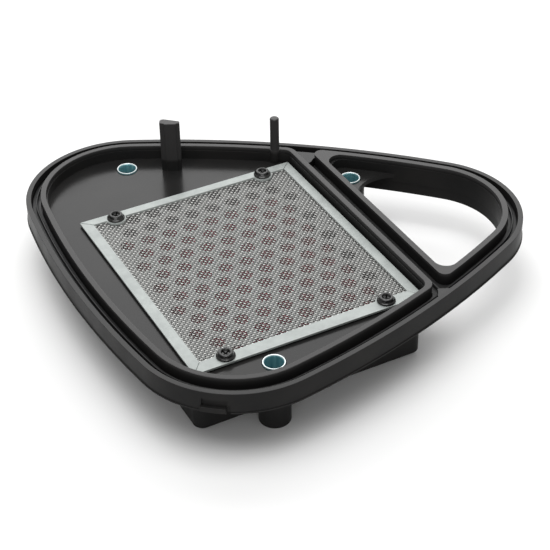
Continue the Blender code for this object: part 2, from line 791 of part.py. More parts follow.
def support_grid(shop, material):
    """Grid in the mouth of the box that holds the element up."""
    half_x, half_y = POTTING_HALF
    nx, ny = GRID_CELLS
    open_x = 2 * (half_x - GRID_BORDER)
    open_y = 2 * (half_y - GRID_BORDER)
    cell_x = (open_x - (nx - 1) * GRID_BAR) / nx
    cell_y = (open_y - (ny - 1) * GRID_BAR) / ny
    loops = [rounded_rectangle(half_x, half_y, 2.2 * MM)]
    for i in range(nx):
        for j in range(ny):
            x0 = -open_x / 2 + i * (cell_x + GRID_BAR)
            y0 = -open_y / 2 + j * (cell_y + GRID_BAR)
            x1, y1 = x0 + cell_x, y0 + cell_y
            loops.append([(x0, y0), (x1, y0), (x1, y1), (x0, y1)])
    return shop.slab("element_support_grid", loops, *GRID_Z, material)


def new_empty(name, collection, location, parent):
    empty = bpy.data.objects.new(name, None)
    empty.empty_display_size = 10 * MM
    empty.location = location
    empty.parent = parent
    collection.objects.link(empty)
    return empty


def build():
    clear_scene()
    shown = new_collection("air_filter_housing")
    tools = new_collection("housing_cutters")
    origin = new_empty("assembly_origin", shown, ASSEMBLY_SHIFT, None)
    screen_lift = new_empty("screen_lift_axis", shown, (0.0, 0.0, 0.0), origin)

    plastic = new_material("black_plastic", BLACK_PLASTIC, 0.38, 0.0)
    steel = new_material("bright_steel", STEEL, 0.35, 1.0)
    zinc = new_material("zinc_collar", ZINC, 0.28, 1.0)
    rubber = new_material("seal_rubber", RUBBER, 0.55, 0.0)
    paper = new_material("filter_paper", PAPER_RED, 0.9, 0.0)
    potting = new_material("edge_moulding", POTTING, 0.7, 0.0)
    black = new_material("black_screw", SCREW_BLACK, 0.25, 0.6)
    brass = new_material("insert_brass", BRASS, 0.35, 1.0)

    housing = Shop(shown, tools, origin)
    tray(housing, plastic)
    collars(housing, zinc)
    seal(housing, rubber)
    inserts(housing, brass)
    pleated_element(housing, paper)
    element_edge(housing, potting)
    support_grid(housing, plastic)

    screen = Shop(shown, tools, screen_lift)
    perforated_plate(screen, steel)
    wire_mesh(screen, steel)
    frame_rails(screen, steel)
    screws(screen, black)

    for step, arguments in Shop.waiting:
        step(*arguments)


build()
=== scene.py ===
"""Looks of the air filter housing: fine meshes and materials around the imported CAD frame."""

import math

import bmesh
import bpy
from mathutils import Matrix, Vector


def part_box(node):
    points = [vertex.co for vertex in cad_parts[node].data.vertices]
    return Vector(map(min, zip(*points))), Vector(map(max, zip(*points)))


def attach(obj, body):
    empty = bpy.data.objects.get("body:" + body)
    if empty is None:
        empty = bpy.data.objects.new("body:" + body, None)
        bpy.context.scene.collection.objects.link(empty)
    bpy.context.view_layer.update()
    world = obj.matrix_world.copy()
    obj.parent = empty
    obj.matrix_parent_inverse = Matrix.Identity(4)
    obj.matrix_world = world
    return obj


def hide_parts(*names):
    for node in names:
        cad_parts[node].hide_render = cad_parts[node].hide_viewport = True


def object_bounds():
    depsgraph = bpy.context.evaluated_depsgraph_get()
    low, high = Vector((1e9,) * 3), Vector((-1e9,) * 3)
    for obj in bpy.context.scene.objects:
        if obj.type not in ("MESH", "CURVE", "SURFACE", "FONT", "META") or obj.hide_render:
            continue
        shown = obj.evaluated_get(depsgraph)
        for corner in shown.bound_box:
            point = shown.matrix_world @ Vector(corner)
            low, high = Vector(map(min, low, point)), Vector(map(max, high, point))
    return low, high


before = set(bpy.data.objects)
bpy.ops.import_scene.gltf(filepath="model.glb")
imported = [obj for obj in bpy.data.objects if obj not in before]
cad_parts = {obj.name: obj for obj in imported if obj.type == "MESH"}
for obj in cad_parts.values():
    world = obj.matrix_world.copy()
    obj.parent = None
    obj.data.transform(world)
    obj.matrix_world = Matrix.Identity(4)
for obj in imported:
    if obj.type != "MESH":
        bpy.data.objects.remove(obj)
CAD_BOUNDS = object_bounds()

MM = 0.001
PLATE_LOW, PLATE_HIGH = (Vector(corner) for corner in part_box("perforated_plate"))
# Middle of the screen, at the height of the tray floor. All millimetres start from here.
HOME = Vector(((PLATE_LOW.x + PLATE_HIGH.x) / 2, (PLATE_LOW.y + PLATE_HIGH.y) / 2, PLATE_HIGH.z))

# Camera, in millimetres and degrees. It looks at a point above HOME, shifted on the picture.
CAMERA_LENS = 96.5
CAMERA_DISTANCE = 751.25
CAMERA_ELEVATION = 36.42
CAMERA_YAW = -27.30
CAMERA_ROLL = -1.03
CAMERA_SHIFT = (-15.0, 8.75)
CAMERA_AIM_HEIGHT = 2.0

# Each softbox: the way from the tray to it, its distance and size in metres, its radiance.
WORLD_STRENGTH = 0.38
SOFTBOXES = {
    "back_softbox": ((0.37, 0.72, 0.60), 1.5, (2.2, 1.3), 1.75),
    "overhead": ((-0.1, -0.1, 1.0), 1.4, (1.2, 1.2), 3.6),
    "front_fill": ((-0.55, -1.0, 0.12), 1.6, (1.4, 0.7), 2.2),
}

# Plan of the tray: three corner circles (x, y, radius) joined by side arcs, in millimetres.
CORNERS = ((100.0, -13.2, 50.8), (-30.75, 81.35, 53.75), (-28.5, -47.85, 54.3))
SIDE_RADIUS = 500.0
# Degrees between points on the corners, the sides and the fillets.
ARC_STEP, SIDE_STEP, FILLET_STEP = 3.0, 0.9, 9.0
SAME_POINT = 0.02

# Lips: distances inwards from the outline. LIP_CORE and LIP_STEP start at INNER_LIP_OUT.
OUTER_LIP_WIDTH = 2.75
INNER_LIP_OUT = 8.0
INNER_LIP_WIDTH = 3.0
LIP_CORE, LIP_STEP = 1.5, 3.5
BEAD_OUT, BEAD_IN, BEAD_HEIGHT = 0.5, 1.3, 0.8
# The window's hole through the floor. SHELF_FILLET leaves the shelf that holds a collar.
THROUGH_INSET, THROUGH_WALL, THROUGH_FILLET, SHELF_FILLET = 10.7, 77.1, 4.8, 22.0

# The divider's two outer faces in x, and how far each face moves per mm of its lip's width.
MAIN_WALL_OUT, WINDOW_WALL_OUT = 67.4, 74.3
MAIN_WALL_PER_INSET, WINDOW_WALL_PER_INSET = 3.2 / 3.0, 3.1 / 3.0
# Fillets where the divider meets the rim. The window lip's grow by this much per mm inwards.
MAIN_REAR_FILLET, MAIN_FRONT_FILLET = 8.0, 6.0
WINDOW_FILLET, WINDOW_FILLET_GROWTH = 4.1, 0.77

# Heights above the tray floor.
INNER_LIP_TOP, OUTER_LIP_TOP, WEB_TOP, LIP_STEP_TOP = 8.0, 5.7, 5.7, 5.4
POCKET_FLOOR, FLOOR_LOW = -0.9, -2.5
SKIRT_BOTTOM, DUCT_BOTTOM, BOX_BOTTOM, BOSS_BOTTOM = -5.7, -11.7, -32.5, -34.0

SCREW_X, SCREW_Y = 43.75, 65.5
SCREWS = [(sx * SCREW_X, sy * SCREW_Y) for sy in (-1, 1) for sx in (-1, 1)]
COLLARS = {
    "collar_rear": (-18.3, 110.0),
    "collar_window": (85.6, 41.2),
    "collar_front": (-25.2, -78.6),
}
# Holes in the plastic for a collar and for a threaded bush.
BORE_RADIUS, INSERT_RADIUS = 5.9, 4.1
# Posts as (x, y, top), and the corners of the tall post's section.
TALL_POST = (4.4, 99.0, 30.0)
TALL_POST_TURN = math.radians(-27.3)
TALL_POST_PLAN = (
    (-2.9, -2.9), (3.5, -2.9), (3.6, -2.2), (5.5, -1.8), (5.5, 0.0),
    (5.0, 0.6), (-3.4, 3.0), (-5.0, 2.6), (-5.6, 1.5), (-5.6, -1.4), (-3.0, -2.2),
)
SLIM_POST = (58.0, 77.5, 28.0)
# Degrees round the front left corner's centre.
CATCH_ANGLES = (-134.8, -121.6)

# Half sides and corner radius of the filter element and of the grid under it.
ELEMENT_HALF, ELEMENT_CORNER = (59.7, 68.2), 2.2
SEAL_GAP = 0.3

# Screen, in plan from HOME and in height above the tray floor.
PLATE_HALF, PLATE_BOTTOM = (59.5, 69.0), -0.6
HOLE_RADIUS, HOLE_PITCH, ROW_PITCH, ROWS = 4.0, 12.0, 10.4, 6
SCREW_HOLE_RADIUS = 2.8
MESH_HALF, MESH_MIDDLE = (59.7, 69.2), 0.66
MESH_SCREW_CLEARANCE = 3.2
# Columns are thin and nearly straight. Rows are thicker and go over and under them.
WIRE_PITCH = (1.548, 1.414)
WIRE_RADII = (0.15, 0.22)
WIRE_RISES = (0.05, 0.36)
WIRE_SIDES = 5
RAIL_BOTTOM, RAIL_TOP, RAIL_HALF = 0.9, 2.0, (62.5, 70.6)
RAIL_LEFT, RAIL_RIGHT, RAIL_FRONT, RAIL_REAR = -56.3, 57.0, -63.3, 65.3
RAIL_GAP, RAIL_CLIP, LOBE_RADIUS = 0.12, 1.0, 5.4


# Plan outlines, in millimetres -------------------------------------------------


def arc(cx, cy, radius, start, end, step):
    count = max(2, math.ceil(abs(end - start) / math.radians(step)))
    angles = [start + (end - start) * i / count for i in range(count + 1)]
    return [(cx + radius * math.cos(a), cy + radius * math.sin(a)) for a in angles]


def circle(cx, cy, radius, count):
    angles = [2 * math.pi * i / count for i in range(count)]
    return [(cx + radius * math.cos(a), cy + radius * math.sin(a)) for a in angles]


def tidy(points):
    """The loop without points that repeat the one before."""
    kept = []
    for point in points:
        if not kept or math.dist(point, kept[-1]) > SAME_POINT:
            kept.append(point)
    if math.dist(kept[0], kept[-1]) <= SAME_POINT:
        kept.pop()
    return kept


def side_centre(first, second):
    """Centre of the side arc that touches two corner circles from outside."""
    ax, ay, ar = first
    bx, by, br = second
    da, db = SIDE_RADIUS - ar, SIDE_RADIUS - br
    span = math.dist((ax, ay), (bx, by))
    ux, uy = (bx - ax) / span, (by - ay) / span
    along = (da * da - db * db + span * span) / (2 * span)
    across = math.sqrt(da * da - along * along)
    return ax + ux * along - uy * across, ay + uy * along + ux * across


def turned(angle, start):
    """The same angle, within one turn after start."""
    while angle < start:
        angle += 2 * math.pi
    while angle > start + 2 * math.pi:
        angle -= 2 * math.pi
    return angle


def rim_arcs():
    """The outline's six arcs, anticlockwise, as [x, y, radius, start, end]."""
    sides = [side_centre(CORNERS[i], CORNERS[(i + 1) % 3]) for i in range(3)]
    arcs = []
    for i, (cx, cy, radius) in enumerate(CORNERS):
        before, after = sides[i - 1], sides[i]
        start = math.atan2(cy - before[1], cx - before[0])
        end = turned(math.atan2(cy - after[1], cx - after[0]), start)
        arcs.append([cx, cy, radius, start, end])
        nx, ny, _ = CORNERS[(i + 1) % 3]
        leave = turned(math.atan2(ny - after[1], nx - after[0]), end)
        arcs.append([*after, SIDE_RADIUS, end, leave])
    return arcs


RIM_ARCS = rim_arcs()


def arc_run(arcs, inset):
    points = []
    for cx, cy, radius, start, end in arcs:
        step = SIDE_STEP if radius == SIDE_RADIUS else ARC_STEP
        points += arc(cx, cy, radius - inset, start, end, step)
    return points


def outline(inset):
    return tidy(arc_run(RIM_ARCS, inset))


def fillet_on(side, inset, x, radius, rear):
    """Height in y of a fillet's centre at x on a side arc, and where it touches."""
    cx, cy, side_radius = side[:3]
    reach = side_radius - inset - radius
    rise = math.sqrt(reach * reach - (x - cx) ** 2)
    y = cy + rise if rear else cy - rise
    return y, math.atan2(y - cy, x - cx)


def main_loop(inset, wall_x, change, front_change):
    """The filter side of the rim, closed by the divider wall."""
    rear, front = RIM_ARCS[1], RIM_ARCS[5]
    rear_fillet, front_fillet = MAIN_REAR_FILLET - change, MAIN_FRONT_FILLET - front_change
    rear_x, front_x = wall_x - rear_fillet, wall_x - front_fillet
    rear_y, rear_a = fillet_on(rear, inset, rear_x, rear_fillet, True)
    front_y, front_a = fillet_on(front, inset, front_x, front_fillet, False)
    rear_a, front_a = turned(rear_a, rear[3]), turned(front_a, front[3])
    rear_part = [*rear[:3], rear_a, rear[4]]
    front_part = [*front[:3], front[3], front_a]
    points = arc_run([rear_part, *RIM_ARCS[2:5], front_part], inset)
    points += arc(front_x, front_y, front_fillet, front_a, turned(0.0, front_a), FILLET_STEP)
    points += arc(rear_x, rear_y, rear_fillet, 0.0, turned(rear_a, 0.0), FILLET_STEP)
    return tidy(points)


def window_loop(inset, wall_x, fillet, rear_fillet):
    """The open side of the rim, right of the divider."""
    rear, front = RIM_ARCS[1], RIM_ARCS[5]
    rear_x, front_x = wall_x + rear_fillet, wall_x + fillet
    rear_y, rear_a = fillet_on(rear, inset, rear_x, rear_fillet, True)
    front_y, front_a = fillet_on(front, inset, front_x, fillet, False)
    rear_a, front_a = turned(rear_a, rear[3]), turned(front_a, front[3])
    front_part = [*front[:3], front_a, front[4]]
    rear_part = [*rear[:3], rear[3], rear_a]
    points = arc_run([front_part, RIM_ARCS[0], rear_part], inset)
    points += arc(rear_x, rear_y, rear_fillet, rear_a, turned(math.pi, rear_a), FILLET_STEP / 2)
    start = math.pi
    points += arc(front_x, front_y, fillet, start, turned(front_a, start), FILLET_STEP)
    return tidy(points)


def main_ring(inward, change, front_change):
    """The filter side's inner lip, this far in from its outer face."""
    wall = MAIN_WALL_OUT - inward * MAIN_WALL_PER_INSET
    return main_loop(INNER_LIP_OUT + inward, wall, change, front_change)


def window_ring(inward):
    fillet = WINDOW_FILLET + inward * WINDOW_FILLET_GROWTH
    wall = WINDOW_WALL_OUT + inward * WINDOW_WALL_PER_INSET
    return window_loop(INNER_LIP_OUT + inward, wall, fillet, fillet)


def rounded_rectangle(half_x, half_y, radius, step=11.25):
    points = []
    for i, (sx, sy) in enumerate(((1, 1), (-1, 1), (-1, -1), (1, -1))):
        start = i * math.pi / 2
        cx, cy = sx * (half_x - radius), sy * (half_y - radius)
        points += arc(cx, cy, radius, start, start + math.pi / 2, step)
    return tidy(points)


def sector(centre, inner, outer, start, end):
    """A piece of a ring between two angles in degrees."""
    a, b = math.radians(start), math.radians(end)
    return arc(*centre, outer, a, b, 1.5) + arc(*centre, inner, b, a, 1.5)


def unit_normal(first, second, sign):
    """Outward normal of an edge; sign is 1 on a loop that runs anticlockwise."""
    dx, dy = second[0] - first[0], second[1] - first[1]
    length = math.hypot(dx, dy)
    return sign * dy / length, -sign * dx / length


def grown(points, by):
    """A plan loop moved outwards along its corner normals."""
    area = sum(a[0] * b[1] - b[0] * a[1] for a, b in zip(points, points[1:] + points[:1]))
    sign = 1.0 if area > 0 else -1.0
    made = []
    for before, here, after in zip(points[-1:] + points[:-1], points, points[1:] + points[:1]):
        first = unit_normal(before, here, sign)
        second = unit_normal(here, after, sign)
        nx, ny = first[0] + second[0], first[1] + second[1]
        scale = max(1.0 + first[0] * second[0] + first[1] * second[1], 0.4)
        made.append((here[0] + by * nx / scale, here[1] + by * ny / scale))
    return made


# Solids ------------------------------------------------------------------------

# Millimetres, degrees, and the weight that favours large faces when normals are averaged.
WELD = 0.002
SMOOTH_ANGLE, SOFTEN_ANGLE = 32.0, 50.0
FAVOUR_LARGE_FACES = 100


def link(name, mesh):
    obj = bpy.data.objects.new(name, mesh)
    bpy.context.scene.collection.objects.link(obj)
    return obj


def evaluated_mesh(obj):
    bpy.context.view_layer.update()
    graph = bpy.context.evaluated_depsgraph_get()
    return bpy.data.meshes.new_from_object(obj.evaluated_get(graph))


def slab(name, loops, low, high, bevel=0.0, segments=2):
    """An extruded flat outline with holes, in millimetres, with softened edges."""
    curve = bpy.data.curves.new(name, "CURVE")
    curve.dimensions = "2D"
    curve.fill_mode = "BOTH"
    curve.extrude = (high - low) / 2
    for loop in loops:
        spline = curve.splines.new("POLY")
        spline.points.add(len(loop) - 1)
        for point, (x, y) in zip(spline.points, loop):
            point.co = (x, y, 0.0, 1.0)
        spline.use_cyclic_u = True
    holder = link(name + "_outline", curve)
    mesh = evaluated_mesh(holder)
    bpy.data.objects.remove(holder)
    body = bmesh.new()
    body.from_mesh(mesh)
    bmesh.ops.remove_doubles(body, verts=body.verts, dist=WELD)
    bmesh.ops.recalc_face_normals(body, faces=body.faces)
    bmesh.ops.dissolve_limit(
        body, angle_limit=0.001, verts=body.verts, edges=body.edges, delimit={"NORMAL"}
    )
    body.to_mesh(mesh)
    body.free()
    mesh.transform(Matrix.Translation((0.0, 0.0, (low + high) / 2)))
    obj = link(name, mesh)
    if bevel:
        soften(obj, bevel, segments)
    return obj


def soften(obj, width, segments):
    modifier = obj.modifiers.new("soften", "BEVEL")
    modifier.width = width
    modifier.segments = segments
    modifier.limit_method = "ANGLE"
    modifier.angle_limit = math.radians(SOFTEN_ANGLE)
    modifier.use_clamp_overlap = True


def baked(obj):
    """The object with its modifiers applied."""
    mesh = evaluated_mesh(obj)
    obj.modifiers.clear()
    obj.data = mesh
    return obj


def cut(obj, *tools):
    """Takes the tools out of the object, after its own modifiers."""
    for tool in tools:
        modifier = obj.modifiers.new("cut", "BOOLEAN")
        modifier.operation = "DIFFERENCE"
        modifier.solver = "EXACT"
        modifier.object = tool
        baked(obj)


def drop(*objects):
    for obj in objects:
        bpy.data.objects.remove(obj)


def united(name, parts):
    """One object from overlapping solids, in one exact pass."""
    first, rest = parts[0], parts[1:]
    for part in parts:
        baked(part)
    group = bpy.data.collections.new(name + "_parts")
    bpy.context.scene.collection.children.link(group)
    for part in rest:
        bpy.context.scene.collection.objects.unlink(part)
        group.objects.link(part)
    modifier = first.modifiers.new("join", "BOOLEAN")
    modifier.operation = "UNION"
    modifier.solver = "EXACT"
    modifier.operand_type = "COLLECTION"
    modifier.collection = group
    baked(first)
    drop(*rest)
    bpy.data.collections.remove(group)
    first.name = name
    return first


def spun(name, profile, steps):
    """A closed (radius, height) profile turned about Z, in millimetres."""
    mesh = bpy.data.meshes.new(name)
    body = bmesh.new()
    rings = []
    for radius, height in profile:
        if radius == 0.0:
            rings.append([body.verts.new((0.0, 0.0, height))])
            continue
        rings.append([body.verts.new((x, y, height)) for x, y in circle(0, 0, radius, steps)])
    for a, b in zip(rings, rings[1:] + rings[:1]):
        if len(a) == 1 and len(b) == 1:
            continue
        for i in range(steps):
            j = (i + 1) % steps
            if len(a) == 1:
                body.faces.new((a[0], b[i], b[j]))
            elif len(b) == 1:
                body.faces.new((a[i], a[j], b[0]))
            else:
                body.faces.new((a[i], a[j], b[j], b[i]))
    bmesh.ops.recalc_face_normals(body, faces=body.faces)
    body.to_mesh(mesh)
    body.free()
    return link(name, mesh)


def finish_piece(obj, node, material, body="housing", angle=SMOOTH_ANGLE, at=(0, 0, 0)):
    """Moves a piece from plan millimetres to its place, smooths it, attaches it to its body and
    hides its CAD node.
    """
    mesh = obj.data
    mesh.transform(Matrix.Translation(at))
    mesh.transform(Matrix.Translation(HOME) @ Matrix.Scale(MM, 4))
    for polygon in mesh.polygons:
        polygon.use_smooth = True
    mesh.set_sharp_from_angle(angle=math.radians(angle))
    weighted = obj.modifiers.new("even_shading", "WEIGHTED_NORMAL")
    weighted.keep_sharp = True
    weighted.weight = FAVOUR_LARGE_FACES
    mesh.materials.clear()
    mesh.materials.append(material)
    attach(obj, body)
    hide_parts(node)


# Materials ---------------------------------------------------------------------


class Shader:
    """A Principled material with helpers for its procedural inputs."""

    def __init__(self, name):
        self.material = bpy.data.materials.new(name)
        self.material.use_nodes = True
        self.tree = self.material.node_tree
        self.main = self.tree.nodes["Principled BSDF"]
        coordinates = self.tree.nodes.new("ShaderNodeTexCoord")
        self.place, self.normal = coordinates.outputs["Object"], coordinates.outputs["Normal"]

    def node(self, kind, **inputs):
        made = self.tree.nodes.new(kind)
        for key, value in inputs.items():
            made.inputs[key.replace("_", " ")].default_value = value
        return made

    def wire(self, output, target):
        self.tree.links.new(output, target)

    def noise(self, scale, detail=4.0, roughness=0.55, stretch=None):
        made = self.node("ShaderNodeTexNoise", Scale=scale, Detail=detail, Roughness=roughness)
        source = self.place
        if stretch:
            mapping = self.node("ShaderNodeMapping", Scale=stretch)
            self.wire(self.place, mapping.inputs["Vector"])
            source = mapping.outputs["Vector"]
        self.wire(source, made.inputs["Vector"])
        return made.outputs["Fac"]

    def spread(self, source, low, high, dark=0.35, light=0.65):
        """source, mapped from the band dark..light to low..high."""
        limits = {"From_Min": dark, "From_Max": light, "To_Min": low, "To_Max": high}
        made = self.node("ShaderNodeMapRange", **limits)
        self.wire(source, made.inputs["Value"])
        return made.outputs["Result"]

    def between(self, low, high):
        """0 up to the height low above the tray floor, and 1 from the height high."""
        split = self.node("ShaderNodeSeparateXYZ")
        self.wire(self.place, split.inputs["Vector"])
        heights = (HOME.z + low * MM, HOME.z + high * MM)
        return self.spread(split.outputs["Z"], 0.0, 1.0, *heights)

    def blend(self, factor, first, second):
        """A colour from first to second. Each is a colour or another node's output."""
        mix = self.node("ShaderNodeMix")
        mix.data_type = "RGBA"
        for name, colour in (("A", first), ("B", second)):
            if isinstance(colour, tuple):
                mix.inputs[name].default_value = (*colour, 1.0)
            else:
                self.wire(colour, mix.inputs[name])
        self.wire(factor, mix.inputs["Factor"])
        return mix.outputs["Result"]

    def tint(self, factor, first, second):
        self.wire(self.blend(factor, first, second), self.main.inputs["Base Color"])

    def bump(self, height, strength, distance):
        made = self.node("ShaderNodeBump", Strength=strength, Distance=distance)
        self.wire(height, made.inputs["Height"])
        self.wire(made.outputs["Normal"], self.main.inputs["Normal"])

    def set(self, **values):
        for key, value in values.items():
            self.main.inputs[key.replace("_", " ")].default_value = value
        return self


def plastic_material():
    """Moulded black plastic: level faces are polished, walls have a matte spark texture."""
    shader = Shader("moulded_black_plastic").set(Metallic=0.0)
    split = shader.node("ShaderNodeSeparateXYZ")
    shader.wire(shader.normal, split.inputs["Vector"])
    level = shader.spread(split.outputs["Z"], 0.0, 1.0, 0.45, 0.9)

    dark, light, painted_upper_light = (0.0140, 0.0139, 0.0140), (0.0180, 0.0174, 0.0168), (0.036, 0.035, 0.035)
    moulded = shader.blend(shader.spread(shader.noise(38.0, 5.0, 0.6), 0.0, 1.0), dark, light)
    # From just above the outer lip's top the plastic is painted lighter: painted light on the
    # inner lips and the posts.
    above_rim = shader.between(OUTER_LIP_TOP + 0.1, INNER_LIP_TOP - 0.5)
    shader.tint(above_rim, moulded, painted_upper_light)
    wall_shine, level_shine = 0.05, 0.32
    shine = shader.spread(level, wall_shine, level_shine, 0.0, 1.0)
    shader.wire(shine, shader.main.inputs["Specular IOR Level"])

    smooth, rough, smoother_when_level = 0.32, 0.42, -0.16
    smear = shader.noise(22.0, 6.0, 0.62, stretch=(1.0, 2.6, 1.0))
    polish = shader.node("ShaderNodeMath")
    polish.operation = "MULTIPLY_ADD"
    shader.wire(level, polish.inputs[0])
    polish.inputs[1].default_value = smoother_when_level
    shader.wire(shader.spread(smear, smooth, rough), polish.inputs[2])
    shader.wire(polish.outputs["Value"], shader.main.inputs["Roughness"])
    shader.bump(shader.noise(2600.0, 2.0), 0.08, 0.06 * MM)
    return shader.material


def metal_material(name, dark, light, roughness, metallic, grain):
    """Patchy metal. Its roughness varies a little round the given middle."""
    less, more = 0.06, 0.07
    shader = Shader(name).set(Metallic=metallic)
    patch = shader.noise(grain, 5.0, 0.6)
    shader.tint(shader.spread(patch, 0.0, 1.0), dark, light)
    spread = shader.spread(shader.noise(60.0), roughness - less, roughness + more)
    shader.wire(spread, shader.main.inputs["Roughness"])
    shader.bump(patch, 0.12, 0.05 * MM)
    return shader.material


def sleeve_material():
    """Blue-passivated zinc: near white from just below the rim's top, blue-green down the bore."""
    shader = Shader("blue_passivated_zinc").set(Metallic=0.55)
    dark, light, rim = (0.17, 0.42, 0.47), (0.32, 0.60, 0.63), (0.86, 0.92, 0.92)
    streak = shader.noise(500.0, 4.0, 0.6, stretch=(1.0, 1.0, 0.12))
    bore = shader.blend(shader.spread(streak, 0.0, 1.0), dark, light)
    shader.tint(shader.between(0.35, 0.7), bore, rim)
    shader.wire(shader.spread(streak, 0.28, 0.42), shader.main.inputs["Roughness"])
    return shader.material


def wire_material():
    """Galvanised wire: painted highlight on the crowns of the weave, painted shade on the wire
    below them.
    """
    shader = Shader("galvanised_wire")
    # Near-white crowns are a painted highlight, and the near-black wire below them is painted
    # shade.
    painted_wire_shade, painted_crown_highlight = (0.10, 0.10, 0.098), (0.97, 0.97, 0.94)
    crown_highlight_mask = shader.between(MESH_MIDDLE + 0.06, MESH_MIDDLE + 0.38)
    shader.tint(crown_highlight_mask, painted_wire_shade, painted_crown_highlight)
    shader.wire(shader.spread(crown_highlight_mask, 0.2, 0.5, 0.0, 1.0), shader.main.inputs["Metallic"])
    patch = shader.noise(900.0, 5.0, 0.6)
    shader.wire(shader.spread(patch, 0.30, 0.42), shader.main.inputs["Roughness"])
    return shader.material


def rubber_material():
    """Matte black rubber with a fine grain."""
    shader = Shader("black_rubber").set(Specular_IOR_Level=0.4)
    dark, light = (0.006, 0.006, 0.0065), (0.013, 0.013, 0.013)
    cloud = shader.noise(90.0)
    shader.tint(shader.spread(cloud, 0.0, 1.0), dark, light)
    shader.wire(shader.spread(cloud, 0.38, 0.52), shader.main.inputs["Roughness"])
    shader.bump(shader.noise(1800.0, 2.0), 0.15, 0.06 * MM)
    return shader.material


def paper_material():
    """Resin-treated filter paper: fibrous and uneven red."""
    shader = Shader("red_filter_paper").set(Specular_IOR_Level=0.2)
    dark, light = (0.40, 0.028, 0.055), (0.66, 0.085, 0.13)
    fibres = shader.noise(900.0, 6.0, 0.7, stretch=(1.0, 0.25, 1.0))
    shader.tint(shader.spread(fibres, 0.0, 1.0), dark, light)
    shader.wire(shader.spread(fibres, 0.82, 0.95), shader.main.inputs["Roughness"])
    shader.bump(fibres, 0.4, 0.12 * MM)
    return shader.material


def moulding_material():
    """Grey moulded foam with open pores."""
    shader = Shader("grey_edge_moulding").set(Specular_IOR_Level=0.3)
    dark, light = (0.045, 0.045, 0.048), (0.085, 0.085, 0.088)
    pores = shader.noise(500.0, 6.0, 0.7)
    shader.tint(shader.spread(pores, 0.0, 1.0), dark, light)
    shader.wire(shader.spread(pores, 0.65, 0.85), shader.main.inputs["Roughness"])
    shader.bump(pores, 0.3, 0.1 * MM)
    return shader.material


def screw_material():
    """Black plated steel with worn high spots."""
    shader = Shader("black_plated_screw").set(Metallic=0.25, Specular_IOR_Level=0.7)
    plated, worn = (0.012, 0.012, 0.012), (0.035, 0.035, 0.033)
    rub = shader.noise(700.0, 5.0, 0.6)
    shader.tint(shader.spread(rub, 0.0, 1.0, 0.45, 0.7), plated, worn)
    shader.wire(shader.spread(rub, 0.10, 0.20), shader.main.inputs["Roughness"])
    shader.bump(rub, 0.08, 0.04 * MM)
    return shader.material


def floor_material():
    """Matte studio white, very slightly uneven."""
    shader = Shader("studio_floor").set(Specular_IOR_Level=0.0, Roughness=0.9)
    grain = shader.noise(6.0, 3.0)
    shader.tint(shader.spread(grain, 0.0, 1.0), (0.90, 0.90, 0.90), (0.91, 0.91, 0.905))
    return shader.material


PLASTIC = plastic_material()
ZINC = sleeve_material()
FRAME_STEEL = metal_material(
    "galvanised_strip", (0.33, 0.355, 0.345), (0.40, 0.43, 0.415), 0.40, 0.12, 150.0
)
WIRE_STEEL = wire_material()
PLATE_STEEL = metal_material(
    "perforated_sheet", (0.29, 0.30, 0.29), (0.38, 0.39, 0.38), 0.45, 0.2, 120.0
)
BRASS = metal_material("turned_brass", (0.52, 0.36, 0.15), (0.66, 0.48, 0.22), 0.3, 1.0, 300.0)
RUBBER = rubber_material()
PAPER = paper_material()
MOULDING = moulding_material()
SCREW_BLACK = screw_material()


# Tray --------------------------------------------------------------------------


def rear_web_plan():
    """The web that closes the divider groove at its rear end, up to the rim's groove."""
    cx, cy, side_radius = RIM_ARCS[1][:3]
    radius = side_radius - INNER_LIP_OUT - SEAL_GAP
    start, end = (math.acos((x - cx) / radius) for x in (84.0, 62.0))
    back = arc(cx, cy, radius, start, end, 0.5)
    groove_end = [(66.0, 57.6), (71.0, 59.2), (73.4, 61.2), (78.6, 63.6)]
    return [*groove_end, *back, (65.8, 71.0)]


def front_web_plan():
    """The small web between the two lips' front corners and the rim."""
    main_side = arc(59.3, -70.8, 9.2, math.radians(-17), math.radians(-48), 5.0)
    return tidy([(75.0, -76.5), (69.3, -73.6), *main_side, (65.2, -79.9), (74.4, -78.4)])


def tray_rim():
    """The outer lip with its skirt, the bead round its foot, and the catch's recess."""
    cx, cy, radius = CORNERS[2]
    start, end = CATCH_ANGLES
    lip = slab("rim", [outline(0.0), outline(OUTER_LIP_WIDTH)], SKIRT_BOTTOM, OUTER_LIP_TOP, 0.35)
    low = SKIRT_BOTTOM - 0.1
    bead = slab("bead", [outline(-BEAD_OUT), outline(BEAD_IN)], low, low + BEAD_HEIGHT, 0.25)
    recess_plan = sector((cx, cy), radius - 1.2, radius + 1.5, start, end)
    slot_plan = sector((cx, cy), radius - 1.4, radius + 2.0, end - 0.8, end + 1.2)
    ledge_plan = sector((cx, cy), radius - 1.0, radius + 1.0, start - 0.6, end - 0.8)
    recess_low, recess_high, slot_low, slot_high, ledge_low = -2.6, 1.6, -8.0, -1.0, -5.5
    recess = slab("recess", [recess_plan], recess_low, recess_high)
    slot = slab("slot", [slot_plan], slot_low, slot_high)
    cut(lip, recess, slot)
    cut(bead, slot)
    drop(recess, slot)
    ledge = slab("ledge", [ledge_plan], ledge_low, recess_low, 0.3)
    return [lip, bead, ledge]


